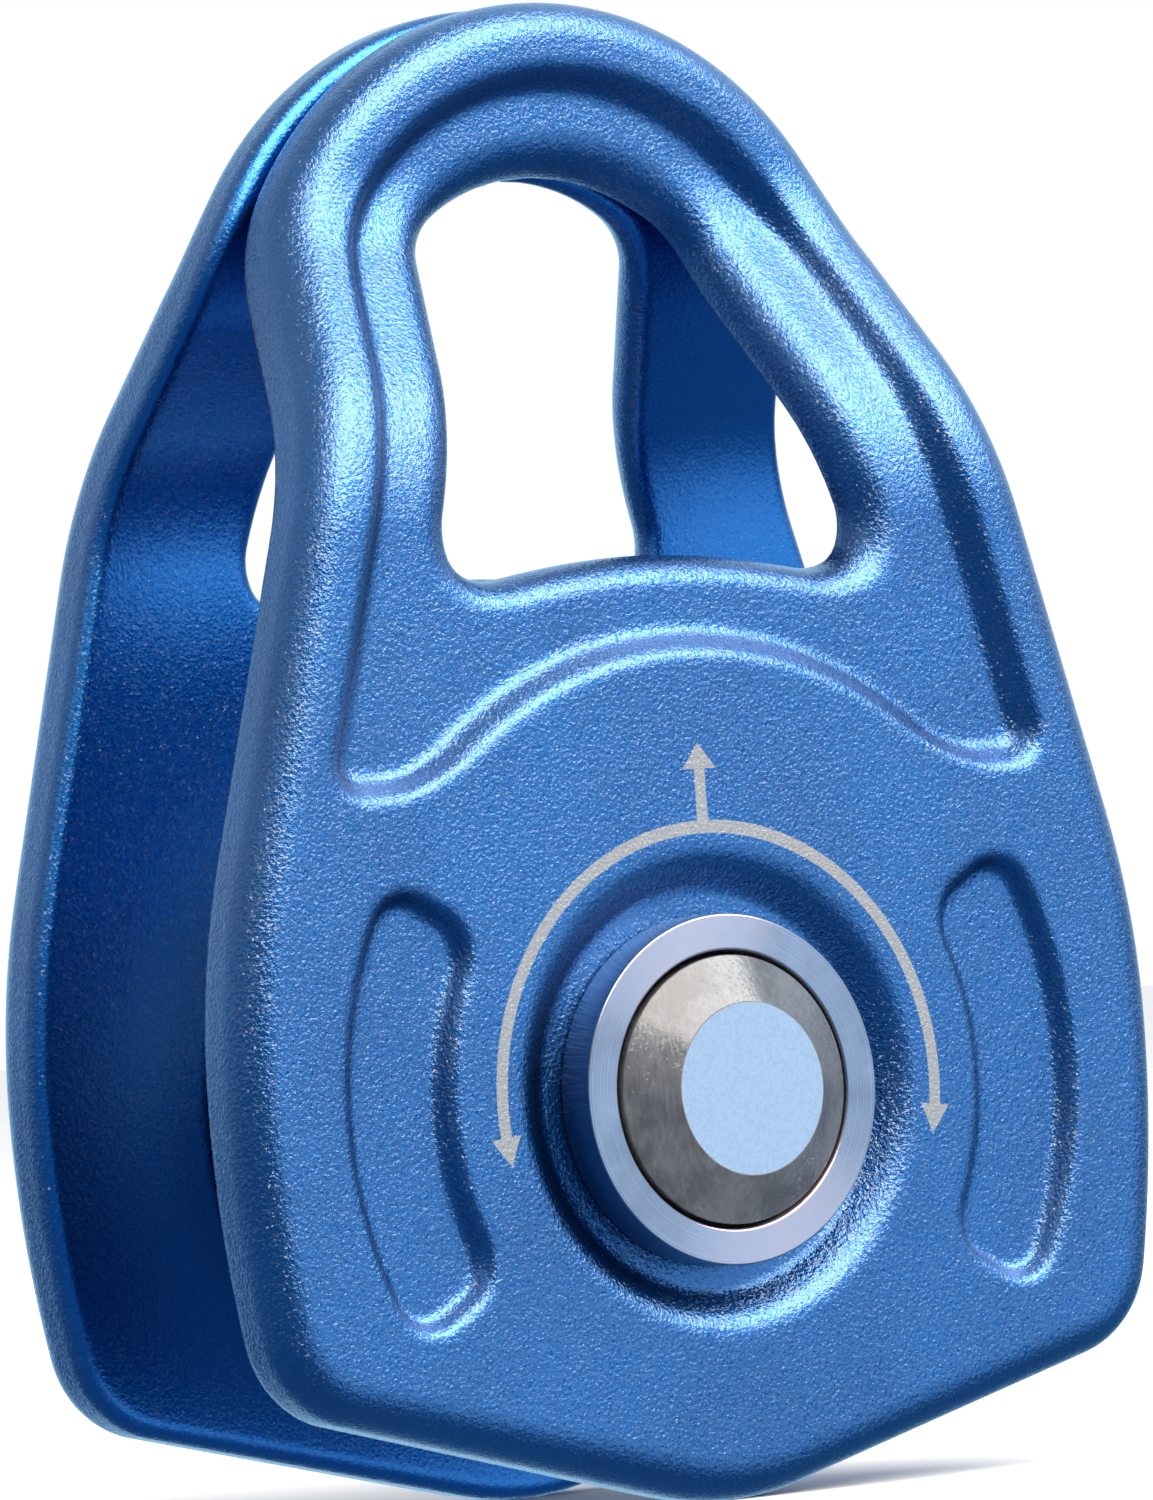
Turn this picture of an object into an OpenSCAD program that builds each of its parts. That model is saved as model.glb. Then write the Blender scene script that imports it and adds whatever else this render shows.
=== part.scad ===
// Small swing-cheek rope pulley: two joggled cheeks swing on a headed axle either side of a ball-bearing
// sheave. The axle runs along Y through the origin, the front cheek is on the -Y side, and its
// connector eye is up, along +Z. Millimetres throughout.

/* [Cheek outline] */
// Width across the widest part of a cheek
cheek_w = 70.6; // [68:0.2:74]
// Angle that the straight sides lean in towards the eye
side_lean = 15.4; // [14.5:0.1:16.5]
// Radius of the arch over the eye
crown_r = 24.2; // [23:0.1:25]
// Radius of the side above the widest point
shoulder_r = 54; // [45:1:60]
// Radius of the side below the widest point
haunch_r = 82; // [70:1:95]
// Angle of the two bottom edges, which meet in a shallow V
foot_slope = 15; // [13:0.5:17]
// Radius of the bottom corners
foot_corner_r = 7; // [5:0.5:9]
// Height of the widest point above the axle
waist_z = 2; // [1:0.5:3]
// How far the haunch reaches below the widest point
haunch_drop = 15.5; // [13:0.5:17]
// Angle that the rear cheek has swung past the front one
rear_swing = 1.4; // [0:0.1:3]

/* [Cheek section] */
// Thickness of a cheek beside the sheave
cheek_t = 5.5; // [5:0.1:6]
// Thickness of a cheek at the eye
eye_t = 5; // [4.6:0.1:5.2]
// Clear space between the cheeks, for the rope
rope_gap = 19.4; // [19:0.1:21]
// Space between the cheeks where they meet at the eye
eye_gap = 0.5; // [0.4:0.1:1]
// Angle of the joggle that brings the cheeks together
joggle_angle = 34; // [32:1:38]
// Height above the axle where the joggle begins
joggle_z = 36; // [34:0.5:37]
// Outside radius of the joggle's lower bend
low_bend_r = 20; // [18:0.5:20]
// Outside radius of the joggle's upper bend
high_bend_r = 10.7; // [10:0.1:11.5]

/* [Eye and relief] */
// Half-width of the eye at its lower corners
eye_half_w = 15.6; // [15:0.1:16.5]
// Height of the top of the eye above the axle
eye_top = 59.3; // [58:0.1:60]
// Distance from the axle to the bottom of the eye, which curves round the sheave
eye_base_r = 33.9; // [33:0.1:35]
// Depth of the sunk panel and of the dish
relief_d = 1.8; // [1.2:0.1:1.9]
// Width of the raised rim round the sunk panel
rim_w = 5.1; // [4.5:0.1:6]
// Distance from the axle to the lower edge of the sunk panel
panel_base_r = 28.5; // [28:0.5:29.5]
// Depth of the side pockets
pocket_d = 1.3; // [0.8:0.1:1.9]
// Distance from the axle to the inner edge of the side pockets
pocket_in_r = 20.6; // [20:0.1:21.5]
// Distance from the axle to the outer edge of the side pockets
pocket_out_r = 27.6; // [27:0.1:28.5]
// Half the angle that a side pocket spans
pocket_half_angle = 31; // [26:1:32]
// Radius of the dish floor round the axle
dish_r = 12.8; // [12.5:0.1:14]

/* [Sheave and bearing] */
// Outside diameter of the sheave
sheave_d = 45; // [44:0.5:46]
// Diameter at the bottom of the rope groove
root_d = 33.6; // [33.4:0.1:35]
// Width of the sheave
sheave_w = 17.6; // [17:0.1:18]
// Radius of the rope groove's section
groove_r = 8.2; // [8:0.1:8.6]
// Outside diameter of the ball bearing
bearing_d = 28; // [27.8:0.1:28]
// Width of the ball bearing
bearing_w = 8; // [7.8:0.1:8]
// Diameter of the circle that the balls run on
pitch_d = 20; // [19.9:0.1:20.1]
// Diameter of a ball
ball_d = 4.76; // [4.5:0.01:4.8]

/* [Axle] */
// Diameter of the axle barrel
axle_d = 12; // [12:0.1:12.4]
// Diameter of the screw inside the barrel
screw_d = 7.9; // [7:0.1:8]
// Diameter of the axle's two heads
head_d = 17; // [16.6:0.1:17.4]
// Diameter of the flat on each head
flat_d = 11; // [10:0.5:12]
// Distance between the flats of the two heads
axle_length = 37.2; // [36.8:0.1:38]
// Outside diameter of the turned collars
collar_d = 22.2; // [22:0.1:23]
// Distance between the outer faces of the two collars
collar_span = 33; // [32.6:0.1:33.4]
// Outside diameter of the collars' sleeves, which the cheeks swing on
sleeve_d = 17; // [16:0.1:17.4]
// Thickness of the thrust washers between the cheeks and the spacers
washer_t = 1.1; // [1:0.1:1.2]
// Outside diameter of the thrust washers
washer_d = 24; // [22:0.5:24.4]

/* [Hidden] */
BALLS = 9;

$fn = 96;
eps = 0.01;
past = 60;                      // reach of a cutting shape past what it cuts
arc_step = 5;                   // degrees between the points of an outline's arcs

// Fits
run_fit = 0.05;                 // radial clearance of a turning fit
slip_fit = 0.02;                // radial clearance of parts clamped on the axle
end_play = 0.1;                 // axial clearance of a cheek, the circlip or a shield

// Small features of the turned pieces
head_sunk = 1.5;                // depth of the counterbore that a head sits in
head_gap = 0.3;                 // radial gap round a head in its counterbore
head_brim_up = 0.1;             // height at which a head's cone starts above the collar
shoulder_w = 1.2;               // step in the sheave that the bearing rests against
land_w = 1.4;                   // from the ball circle to the lands either side of the raceways
track_play = 0.07;              // how much larger the raceway's section is than a ball
shield_lap = 0.7;               // overlap of a shield with the outer race
shield_t = 0.6;
shield_gap = 0.3;               // radial gap between a shield and the inner race
circlip_t = 1;
circlip_depth = 0.8;            // depth of the circlip's groove

// Distances from the middle plane, along the axle
cheek_in = rope_gap / 2;
cheek_out = cheek_in + cheek_t;
eye_in = eye_gap / 2;
eye_out = eye_in + eye_t;
dish_floor = cheek_out - relief_d;
washer_out = cheek_in - end_play;
washer_in = washer_out - washer_t;
collar_under = dish_floor + run_fit;
collar_out = collar_span / 2;
head_seat = collar_out - head_sunk;
head_brim = collar_out + head_brim_up;
head_out = axle_length / 2;

// Radii
axle_r = axle_d / 2;
barrel_bore_r = screw_d / 2 + run_fit;
sleeve_r = sleeve_d / 2;
collar_r = collar_d / 2;
head_r = head_d / 2;
seat_r = bearing_d / 2;
shoulder_bore_r = seat_r - shoulder_w;
circlip_groove_r = seat_r + circlip_depth;
ball_r = ball_d / 2;
track_r = ball_r + track_play;
pitch_r = pitch_d / 2;
inner_land_r = pitch_r - land_w;
outer_land_r = pitch_r + land_w;
shield_r = outer_land_r + shield_lap;
shield_hole_r = inner_land_r + shield_gap;

// Cheek outline, below and above the widest point
foot_r = 20;                    // radius at the bottom of the V
foot_turn = acos(haunch_drop / haunch_r);
foot_line = (cheek_w / 2 - foot_r * sin(foot_slope) - haunch_r * (1 - sin(foot_turn))
             - foot_corner_r * (sin(foot_turn) - sin(foot_slope))) / cos(foot_slope);
side_line = (cheek_w / 2 - shoulder_r * (1 - cos(side_lean)) - crown_r * cos(side_lean)) / sin(side_lean);
foot_z = waist_z - haunch_drop - foot_corner_r * (cos(foot_slope) - cos(foot_turn))
         - foot_line * sin(foot_slope) - foot_r * (1 - cos(foot_slope));

// Eye outline: round lower corners, leaning sides, and a flat arch with tighter shoulders
eye_low = 31.8;                 // lowest point of the corners
eye_corner_r = 4.2;
eye_shoulder_r = 6;
eye_crown_r = 15;
eye_crown_turn = 34;            // angle of the flat arch either side of the top
eye_shoulder = [eye_crown_r * sin(eye_crown_turn) + eye_shoulder_r * (cos(side_lean) - sin(eye_crown_turn)),
                eye_top - eye_crown_r * (1 - cos(eye_crown_turn))
                - eye_shoulder_r * (cos(eye_crown_turn) - sin(side_lean))];

// Relief corners
panel_corner_r = 2.2;
panel_low = 20.2;
pocket_corner_r = 2.6;

C_BLUE = [0.13, 0.37, 0.71];
C_SILVER = [0.78, 0.79, 0.82];
C_STEEL = [0.55, 0.55, 0.56];
C_BRONZE = [0.70, 0.52, 0.28];
C_SEAL = [0.10, 0.10, 0.11];

// Points along a chain of moves: [r, turn] is an arc of radius r, [length, 0] a straight line
function arc_end(at, head, r, turn) =
    at + sign(turn) * r * [sin(head + turn) - sin(head), cos(head) - cos(head + turn)];
function move_points(at, head, r, turn) =
    turn == 0 ? [at + r * [cos(head), sin(head)]]
              : [for (n = ceil(abs(turn) / arc_step), i = [1:n]) arc_end(at, head, r, turn * i / n)];
function trail(at, head, moves, i = 0) =
    i == len(moves) ? []
    : let (points = move_points(at, head, moves[i][0], moves[i][1]))
      concat(points, trail(points[len(points) - 1], head + moves[i][1], moves, i + 1));
function reversed(list) = [for (i = [len(list) - 1:-1:0]) list[i]];
function both_sides(half) = concat(half, [for (p = reversed(half)) [-p[0], p[1]]]);

cheek_half = trail([0, foot_z], 0,
    [[foot_r, foot_slope], [foot_line, 0], [foot_corner_r, foot_turn - foot_slope],
     [haunch_r, 90 - foot_turn], [shoulder_r, side_lean], [side_line, 0], [crown_r, 90 - side_lean]]);

// One face of a cheek seen from the side, as [distance from the middle plane, height]
function face_points(low_y, high_y, r_low, r_high, shift = 0) =
    let (slant = (low_y - high_y - (r_low + r_high) * (1 - cos(joggle_angle))) / sin(joggle_angle))
    [for (p = concat([[low_y, foot_z - 1]],
                     trail([low_y, joggle_z], 90,
                           [[r_low, joggle_angle], [slant, 0], [r_high, -joggle_angle]]),
                     [[high_y, past * 2]])) p - [shift, 0]];

function outer_face(shift = 0) = face_points(cheek_out, eye_out, low_bend_r, high_bend_r, shift);
function inner_face() = face_points(cheek_in, eye_in, low_bend_r - cheek_t, high_bend_r + eye_t);

// Placing
module along_axle() { rotate([-90, 0, 0]) children(); }
module turned(profile) { along_axle() rotate_extrude() polygon(profile); }
module through_cheek() { rotate([90, 0, 0]) linear_extrude(past * 2, center = true) children(); }
module seen_from_side() { rotate([90, 0, 90]) linear_extrude(past * 2, center = true) children(); }
module front() { mirror([0, 1, 0]) children(); }

module cheek_outline() { polygon(both_sides(cheek_half)); }

module eye_outline() {
    arch = trail(eye_shoulder, 90 + side_lean,
                 [[eye_shoulder_r, 90 - side_lean - eye_crown_turn], [eye_crown_r, eye_crown_turn]]);
    difference() {
        hull() {
            polygon(both_sides(concat([eye_shoulder], arch)));
            for (side = [-1, 1])
                translate([side * (eye_half_w - eye_corner_r), eye_low + eye_corner_r])
                    circle(eye_corner_r);
        }
        circle(eye_base_r);
    }
}

// The sunk panel round the eye keeps a rim inside the outline and ends over the sheave
module panel_outline() {
    offset(r = panel_corner_r) offset(delta = -panel_corner_r)
        difference() {
            offset(delta = -rim_w) cheek_outline();
            circle(panel_base_r);
            translate([-past, panel_low - past]) square([past * 2, past]);
        }
}

module pocket_outline() {
    offset(r = pocket_corner_r) offset(delta = -pocket_corner_r)
        intersection() {
            difference() {
                circle(pocket_out_r);
                circle(pocket_in_r);
            }
            polygon([[0, 0], [past, -past * tan(pocket_half_angle)], [past, past * tan(pocket_half_angle)]]);
        }
}

// One cheek, modelled on the +Y side
module cheek() {
    color(C_BLUE)
    difference() {
        intersection() {
            through_cheek() cheek_outline();
            seen_from_side() polygon(concat(outer_face(), reversed(inner_face())));
        }
        through_cheek() eye_outline();
        intersection() {
            through_cheek() panel_outline();
            seen_from_side() polygon(concat(outer_face(relief_d), [[past, past * 2], [past, foot_z - 1]]));
        }
        for (side = [0, 1])
            mirror([side, 0, 0])
                translate([0, cheek_out - pocket_d, 0]) rotate([90, 0, 0]) mirror([0, 0, 1])
                    linear_extrude(past) pocket_outline();
        turned([[0, dish_floor], [dish_r, dish_floor], [dish_r + relief_d + eps, cheek_out + eps],
                [0, cheek_out + eps]]);
        turned([[0, 0], [sleeve_r + run_fit, 0], [sleeve_r + run_fit, cheek_out], [0, cheek_out]]);
    }
}

// Flanged collar: the cheek swings on its sleeve and its counterbore takes the axle's head
module collar() {
    brim = 0.25;
    color(C_SILVER)
    turned([[axle_r + slip_fit, washer_out], [sleeve_r, washer_out], [sleeve_r, collar_under],
            [collar_r, collar_under], [collar_r, collar_out - brim], [collar_r - brim, collar_out],
            [head_r + head_gap, collar_out], [head_r + head_gap, head_seat],
            [axle_r + slip_fit, head_seat]]);
}

function head_profile() = [[0, head_seat], [head_r, head_seat], [head_r, head_brim],
                           [flat_d / 2, head_out], [0, head_out]];

module axle_barrel() {
    floor_y = head_seat - 1;
    color(C_STEEL)
    union() {
        turned(head_profile());
        turned([[0, floor_y], [0, head_seat + eps], [axle_r, head_seat + eps], [axle_r, -head_seat],
                [barrel_bore_r, -head_seat], [barrel_bore_r, floor_y]]);
    }
}

module axle_screw() {
    tip_y = head_seat - 3;
    tip_chamfer = 0.8;
    screw_r = screw_d / 2;
    color(C_STEEL)
    union() {
        front() turned(head_profile());
        turned([[0, -head_seat - eps], [screw_r, -head_seat - eps], [screw_r, tip_y - tip_chamfer],
                [screw_r - tip_chamfer, tip_y], [0, tip_y]]);
    }
}

module washer() {
    color(C_BRONZE)
    turned([[axle_r + slip_fit, washer_in], [washer_d / 2, washer_in], [washer_d / 2, washer_out],
            [axle_r + slip_fit, washer_out]]);
}

module spacer() {
    color(C_SILVER)
    turned([[axle_r + slip_fit, bearing_w / 2], [sleeve_r, bearing_w / 2], [sleeve_r, washer_in],
            [axle_r + slip_fit, washer_in]]);
}

// The bearing goes in from the front against a shoulder, and a circlip holds it
module sheave() {
    half_w = sheave_w / 2;
    rim_r = sheave_d / 2;
    lead = 0.5;
    color(C_SILVER)
    along_axle() rotate_extrude() difference() {
        polygon([[seat_r + lead, -half_w], [rim_r - lead, -half_w], [rim_r, -half_w + lead],
                 [rim_r, half_w - lead], [rim_r - lead, half_w], [shoulder_bore_r, half_w],
                 [shoulder_bore_r, bearing_w / 2], [seat_r, bearing_w / 2], [seat_r, -half_w + lead]]);
        translate([root_d / 2 + groove_r, 0]) circle(groove_r);
        translate([0, -bearing_w / 2 - circlip_t - end_play])
            square([circlip_groove_r, circlip_t + end_play]);
    }
}

module bearing_circlip() {
    ring_r = circlip_groove_r - 0.1;
    ring_w = 1.9;
    gap_half = 2.2;
    lug_r = 1.5;
    lug_hole_r = 0.6;
    lug_at = ring_r - ring_w - lug_hole_r;
    color(C_STEEL)
    translate([0, -bearing_w / 2 - circlip_t - end_play / 2, 0]) along_axle() difference() {
        union() {
            difference() {
                cylinder(circlip_t, r = ring_r);
                translate([0, 0, -eps]) cylinder(circlip_t + 2 * eps, r = ring_r - ring_w);
            }
            for (side = [-1, 1])
                translate([side * (gap_half + lug_r), -lug_at, 0]) cylinder(circlip_t, r = lug_r, $fn = 32);
        }
        translate([-gap_half, -past, -1]) cube([2 * gap_half, past, circlip_t + 2]);
        for (side = [-1, 1])
            translate([side * (gap_half + lug_r), -lug_at, -1])
                cylinder(circlip_t + 2, r = lug_hole_r, $fn = 24);
    }
}

module raceway() { translate([pitch_r, 0]) circle(track_r, $fn = 48); }

module outer_race() {
    half_w = bearing_w / 2;
    step_y = half_w - shield_t - end_play;
    color(C_STEEL)
    along_axle() rotate_extrude() difference() {
        polygon([[outer_land_r, -step_y], [shield_r, -step_y], [shield_r, -half_w], [seat_r, -half_w],
                 [seat_r, half_w], [shield_r, half_w], [shield_r, step_y], [outer_land_r, step_y]]);
        raceway();
    }
}

module inner_race() {
    color(C_STEEL)
    along_axle() rotate_extrude() difference() {
        translate([axle_r + slip_fit, -bearing_w / 2])
            square([inner_land_r - axle_r - slip_fit, bearing_w]);
        raceway();
    }
}

module shield() {
    out_y = bearing_w / 2 - end_play;
    color(C_SEAL)
    turned([[shield_hole_r, out_y - shield_t], [shield_r, out_y - shield_t], [shield_r, out_y],
            [shield_hole_r, out_y]]);
}

module ball_place(i) {
    rotate([0, i * 360 / BALLS, 0]) translate([0, 0, pitch_r]) children();
}

module ball_cage() {
    cage_half_w = 2.9;
    cage_half_t = 0.8;
    pocket_play = 0.06;
    color(C_BRONZE)
    difference() {
        turned([[pitch_r - cage_half_t, -cage_half_w], [pitch_r + cage_half_t, -cage_half_w],
                [pitch_r + cage_half_t, cage_half_w], [pitch_r - cage_half_t, cage_half_w]]);
        for (i = [1:BALLS])
            ball_place(i) sphere(ball_r + pocket_play, $fn = 48);
    }
}

module ball(i) { color(C_SILVER) ball_place(i) sphere(ball_r, $fn = 48); }

rotate([0, -rear_swing, 0]) cheek();  // rear_cheek
front() cheek();  // front_cheek
collar();  // rear_collar
front() collar();  // front_collar
axle_barrel();
axle_screw();
washer();  // rear_washer
front() washer();  // front_washer
spacer();  // rear_spacer
front() spacer();  // front_spacer
sheave();
bearing_circlip();
outer_race();
inner_race();
shield();  // rear_shield
front() shield();  // front_shield
ball_cage();
for (i = [1:BALLS])
    ball(i);
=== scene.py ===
"""Looks for a small swing-cheek rope pulley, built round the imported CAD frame."""
import math

import bpy
import numpy as np
from mathutils import Matrix, Vector


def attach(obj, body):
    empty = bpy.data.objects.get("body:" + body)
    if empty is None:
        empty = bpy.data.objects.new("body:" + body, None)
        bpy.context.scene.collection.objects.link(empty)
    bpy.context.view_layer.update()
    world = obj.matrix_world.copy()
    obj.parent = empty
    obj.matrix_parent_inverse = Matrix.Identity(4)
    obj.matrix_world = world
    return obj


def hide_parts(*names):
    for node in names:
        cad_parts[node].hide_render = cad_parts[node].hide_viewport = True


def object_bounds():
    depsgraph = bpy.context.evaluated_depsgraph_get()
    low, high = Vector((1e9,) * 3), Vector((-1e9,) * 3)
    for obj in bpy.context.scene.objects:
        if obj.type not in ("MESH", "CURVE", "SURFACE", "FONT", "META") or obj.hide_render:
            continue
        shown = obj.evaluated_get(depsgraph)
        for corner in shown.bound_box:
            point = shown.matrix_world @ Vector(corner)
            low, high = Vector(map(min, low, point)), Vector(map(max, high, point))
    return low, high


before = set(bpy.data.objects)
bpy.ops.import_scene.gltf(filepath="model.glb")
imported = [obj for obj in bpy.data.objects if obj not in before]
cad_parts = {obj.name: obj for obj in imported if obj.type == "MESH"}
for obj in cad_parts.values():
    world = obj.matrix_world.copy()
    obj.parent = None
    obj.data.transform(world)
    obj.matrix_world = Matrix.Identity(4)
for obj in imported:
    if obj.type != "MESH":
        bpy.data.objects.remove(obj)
cad_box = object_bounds()

MM = 0.001
TINY = 1e-9


def direction(azimuth, elevation):
    """Unit vector from the axle. Azimuth 0 is straight in front, towards -Y, and 90 is to the right."""
    a, e = math.radians(azimuth), math.radians(elevation)
    return Vector((math.sin(a) * math.cos(e), -math.cos(a) * math.cos(e), math.sin(e)))


# ---------------------------------------------------------------- camera

# Where the camera stands and how it is turned, round the axle's centre
CAMERA_PLACE = Vector((-0.35184, -0.51610, 0.00710))
CAMERA_AZIMUTH = -34.37
CAMERA_ELEVATION = -1.40
CAMERA_ROLL = -4.04
LENS_MM = 232.5
SENSOR_MM = 36.0
CLIP_NEAR, CLIP_FAR = 0.01, 20.0


def add_camera():
    back = direction(CAMERA_AZIMUTH, CAMERA_ELEVATION)
    right = direction(CAMERA_AZIMUTH + 90, 0)
    up = back.cross(right)
    r = math.radians(CAMERA_ROLL)
    axes = (right * math.cos(r) + up * math.sin(r), up * math.cos(r) - right * math.sin(r), back)
    data = bpy.data.cameras.new("camera")
    data.lens = LENS_MM
    data.sensor_width = SENSOR_MM
    data.clip_start, data.clip_end = CLIP_NEAR, CLIP_FAR
    camera = bpy.data.objects.new("camera", data)
    bpy.context.collection.objects.link(camera)
    camera.matrix_world = Matrix.Translation(CAMERA_PLACE) @ Matrix(axes).transposed().to_4x4()
    bpy.context.scene.camera = camera


# ---------------------------------------------------------------- cheek shape, in millimetres

# Outline, from the foot up to the crown
CHEEK_W = 70.6
SIDE_LEAN = math.radians(15.4)
CROWN_R = 24.2
SHOULDER_R = 54.0
HAUNCH_R = 82.0
HAUNCH_DROP = 15.5
FOOT_SLOPE = math.radians(15)
FOOT_CORNER_R = 7.0
FOOT_R = 20.0
WAIST_Z = 2.0

# The joggle that brings the eyes of the two cheeks together, and how far the faces stand from the middle
JOGGLE_ANGLE = math.radians(34)
JOGGLE_Z = 36.0
JOGGLE_LOW_R = 20.0
JOGGLE_HIGH_R = 10.7
CHEEK_IN, CHEEK_OUT = 9.7, 15.2
EYE_IN, EYE_OUT = 0.25, 5.25

# The connector eye
EYE_HALF_W = 15.6
EYE_LOW, EYE_TOP = 31.8, 59.3
EYE_BASE_R, EYE_BASE_BLEND_R = 33.9, 4.0
EYE_CORNER_R, EYE_SHOULDER_R, EYE_CROWN_R = 4.2, 6.0, 15.0
EYE_CROWN_TURN = math.radians(34)

# The rim round the sunk panel, the panel, the two side pockets and the bore
RIM_W = 5.1
PANEL_BASE_R, PANEL_LOW, PANEL_CORNER_R = 28.5, 20.2, 2.2
POCKET_MID_R, POCKET_HALF_W = 24.1, 3.5
POCKET_HALF_ANGLE, POCKET_CORNER_R = math.radians(31), 2.6
BORE_R = 8.55

# Walls of the sunk areas: their depth, their steepest slope, and the widths of the fillets at top and foot
RELIEF_D = 1.8
PANEL_WALL = (RELIEF_D, 1.5, 1.2, 1.1)
POCKET_WALL = (1.3, 1.75, 0.7, 0.5)
DISH_FLOOR_R, DISH_R = 12.75, 15.6
DISH_SLOPE = 0.9

# Rounding of the outline and of the eye, on the cheek's outer and inner face
OUTER_EDGE_R, INNER_EDGE_R = 2.7, 1.1
EYE_EDGE_R, EYE_BACK_R = 3.0, 1.0

# How far the rear cheek is swung past the front one
REAR_SWING = math.radians(1.4)

# The grid that the skin is drawn on: its step, and its reach round the cheek and to either side of the
# surface halfway between the two faces
MESH_STEP, QUICK_STEPS = 0.42, 2
GRID_X, GRID_Y, GRID_LOW, GRID_TOP = CHEEK_W / 2 + 1.5, 4.2, -28.0, 73.0


# A half outline is a list of moves: an arc of a radius that turns left by an angle, or a straight line

def arc_move(r, turn):
    return ("arc", r, turn)


def line_move(length):
    return ("line", length, 0.0)


def walk(start, moves):
    """The lines and arcs of a half outline that sets out along +X, with where each of them starts."""
    at, head, pieces = np.array(start, float), 0.0, []
    for kind, size, turn in moves:
        pieces.append((kind, at.copy(), head, size, turn))
        after = head + turn
        if kind == "line":
            step = (math.cos(head), math.sin(head))
        else:
            step = (math.sin(after) - math.sin(head), math.cos(head) - math.cos(after))
        at, head = at + size * np.array(step), after
    return pieces


def outline_distance(pieces, x, z):
    """Signed distance to a closed outline that is the same left and right, positive outside it."""
    x = np.abs(x)
    best = np.full(x.shape, np.inf)
    for kind, at, head, size, turn in pieces:
        if kind == "line":
            cx, cz = math.cos(head), math.sin(head)
            along = np.clip((x - at[0]) * cx + (z - at[1]) * cz, 0, size)
            qx, qz = at[0] + along * cx, at[1] + along * cz
            nx, nz = cz, -cx
        else:
            mid = at + size * np.array([-math.sin(head), math.cos(head)])
            h = np.clip(np.arctan2(x - mid[0], mid[1] - z) % (2 * math.pi), head, head + turn)
            nx, nz = np.sin(h), -np.cos(h)
            qx, qz = mid[0] + size * nx, mid[1] + size * nz
        gap = np.hypot(x - qx, z - qz)
        gap = np.where((x - qx) * nx + (z - qz) * nz < 0, -gap, gap)
        best = np.where(np.abs(gap) < np.abs(best) - TINY, gap, best)
    return best


def cheek_outline():
    foot_turn = math.acos(HAUNCH_DROP / HAUNCH_R)
    foot_line = (CHEEK_W / 2 - FOOT_R * math.sin(FOOT_SLOPE) - HAUNCH_R * (1 - math.sin(foot_turn))
                 - FOOT_CORNER_R * (math.sin(foot_turn) - math.sin(FOOT_SLOPE))) / math.cos(FOOT_SLOPE)
    side_line = (CHEEK_W / 2 - SHOULDER_R * (1 - math.cos(SIDE_LEAN))
                 - CROWN_R * math.cos(SIDE_LEAN)) / math.sin(SIDE_LEAN)
    foot_z = (WAIST_Z - HAUNCH_DROP - FOOT_CORNER_R * (math.cos(FOOT_SLOPE) - math.cos(foot_turn))
              - foot_line * math.sin(FOOT_SLOPE) - FOOT_R * (1 - math.cos(FOOT_SLOPE)))
    quarter = math.pi / 2
    return walk((0, foot_z), [
        arc_move(FOOT_R, FOOT_SLOPE), line_move(foot_line), arc_move(FOOT_CORNER_R, foot_turn - FOOT_SLOPE),
        arc_move(HAUNCH_R, quarter - foot_turn), arc_move(SHOULDER_R, SIDE_LEAN), line_move(side_line),
        arc_move(CROWN_R, quarter - SIDE_LEAN)])


def eye_outline():
    inset = EYE_CROWN_R - EYE_SHOULDER_R
    corner = np.array([EYE_HALF_W - EYE_CORNER_R, EYE_LOW + EYE_CORNER_R])
    crown = np.array([0, EYE_TOP - EYE_CROWN_R])
    shoulder = crown + inset * np.array([math.sin(EYE_CROWN_TURN), math.cos(EYE_CROWN_TURN)])
    reach = shoulder - corner
    span, grows = math.hypot(*reach), EYE_SHOULDER_R - EYE_CORNER_R
    side_turn = math.atan2(reach[1], reach[0]) - math.asin(grows / span)
    side_line = math.sqrt(span ** 2 - grows ** 2)
    return walk((0, EYE_LOW), [
        line_move(corner[0]), arc_move(EYE_CORNER_R, side_turn), line_move(side_line),
        arc_move(EYE_SHOULDER_R, math.pi - EYE_CROWN_TURN - side_turn),
        arc_move(EYE_CROWN_R, EYE_CROWN_TURN)])


OUTLINE, EYE = cheek_outline(), eye_outline()


def rounded_both(a, b, r):
    """The overlap of two shapes given by their distances, with the edge between them rounded to r."""
    return np.minimum(np.maximum(a, b), -r) + np.hypot(np.maximum(a + r, 0), np.maximum(b + r, 0))


def face_height(z, low, high, r_low, r_high):
    """Distance of a joggled face from the middle plane at height z, and its slope there."""
    sin_a, cos_a = math.sin(JOGGLE_ANGLE), math.cos(JOGGLE_ANGLE)
    slant = (low - high - (r_low + r_high) * (1 - cos_a)) / sin_a
    z1 = JOGGLE_Z + r_low * sin_a
    z2 = z1 + slant * cos_a
    z3 = z2 + r_high * sin_a
    bend_low = np.clip(z - JOGGLE_Z, 0, r_low * sin_a)
    bend_high = np.clip(z3 - z, 0, r_high * sin_a)
    rise_low = np.sqrt(r_low ** 2 - bend_low ** 2)
    rise_high = np.sqrt(r_high ** 2 - bend_high ** 2)
    tan_a = math.tan(JOGGLE_ANGLE)
    slanted = low - r_low * (1 - cos_a) - (z - z1) * tan_a
    y = np.where(z < z1, low - r_low + rise_low, np.where(z > z2, high + r_high - rise_high, slanted))
    slope = np.where(z < z1, bend_low / rise_low, np.where(z > z2, bend_high / rise_high, tan_a))
    return y, slope


def outer_face(z):
    return face_height(z, CHEEK_OUT, EYE_OUT, JOGGLE_LOW_R, JOGGLE_HIGH_R)


def inner_face(z):
    return face_height(z, CHEEK_IN, EYE_IN, JOGGLE_LOW_R - (CHEEK_OUT - CHEEK_IN),
                       JOGGLE_HIGH_R + EYE_OUT - EYE_IN)


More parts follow.
